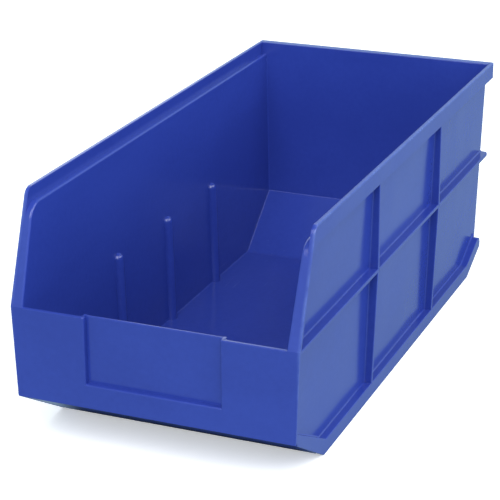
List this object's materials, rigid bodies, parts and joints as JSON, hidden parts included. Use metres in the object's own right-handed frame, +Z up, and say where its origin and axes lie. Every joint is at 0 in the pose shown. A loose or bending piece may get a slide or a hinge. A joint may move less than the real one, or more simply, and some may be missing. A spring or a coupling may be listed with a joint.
{
  "type": "stackable shelf bin",
  "caption": "Open-fronted stacking storage bin in one plastic moulding, with a label recess, a stacking ledge and a turned-down rear lip.",
  "frame": {"origin": "centre of the base, on the surface that the bin stands on", "axes": "+X to the right when facing the front panel from outside; +Y from the front panel to the back wall; +Z up"},
  "size_m": [0.21, 0.457, 0.178],
  "materials": {
    "blue_plastic": "moulded satin polypropylene"
  },
  "bodies": {
    "root": {"back_header": "blue_plastic", "back_wall": "blue_plastic", "floor_panel": "blue_plastic", "floor_runner_left": "blue_plastic", "floor_runner_right": "blue_plastic", "front_flange_left": "blue_plastic", "front_flange_right": "blue_plastic", "front_panel_lower": "blue_plastic", "front_panel_upper_left": "blue_plastic", "front_panel_upper_right": "blue_plastic", "guide_rib_front_left": "blue_plastic", "guide_rib_front_right": "blue_plastic", "guide_rib_middle_left": "blue_plastic", "guide_rib_middle_right": "blue_plastic", "guide_rib_rear_left": "blue_plastic", "guide_rib_rear_right": "blue_plastic", "label_back": "blue_plastic", "label_cheek_left": "blue_plastic", "label_cheek_right": "blue_plastic", "label_sill": "blue_plastic", "ledge_left": "blue_plastic", "ledge_right": "blue_plastic", "level_fin_front_left": "blue_plastic", "level_fin_front_right": "blue_plastic", "level_fin_middle_left": "blue_plastic", "level_fin_middle_right": "blue_plastic", "level_fin_rear_left": "blue_plastic", "level_fin_rear_right": "blue_plastic", "nose_band_plate_left": "blue_plastic", "nose_band_plate_right": "blue_plastic", "nose_band_web_left": "blue_plastic", "nose_band_web_right": "blue_plastic", "nose_panel": "blue_plastic", "rear_flange": "blue_plastic", "rear_lip": "blue_plastic", "rear_ramp_panel": "blue_plastic", "rim_border_left": "blue_plastic", "rim_border_right": "blue_plastic", "rim_corner_left": "blue_plastic", "rim_corner_right": "blue_plastic", "side_wall_left": "blue_plastic", "side_wall_right": "blue_plastic", "skirt_plate_left": "blue_plastic", "skirt_plate_right": "blue_plastic", "skirt_tail_left": "blue_plastic", "skirt_tail_right": "blue_plastic", "skirt_web_left": "blue_plastic", "skirt_web_right": "blue_plastic", "slope_flange_left": "blue_plastic", "slope_flange_right": "blue_plastic", "upright_fin_front_left": "blue_plastic", "upright_fin_front_right": "blue_plastic", "upright_fin_rear_left": "blue_plastic", "upright_fin_rear_right": "blue_plastic"}
  },
  "joints": []
}
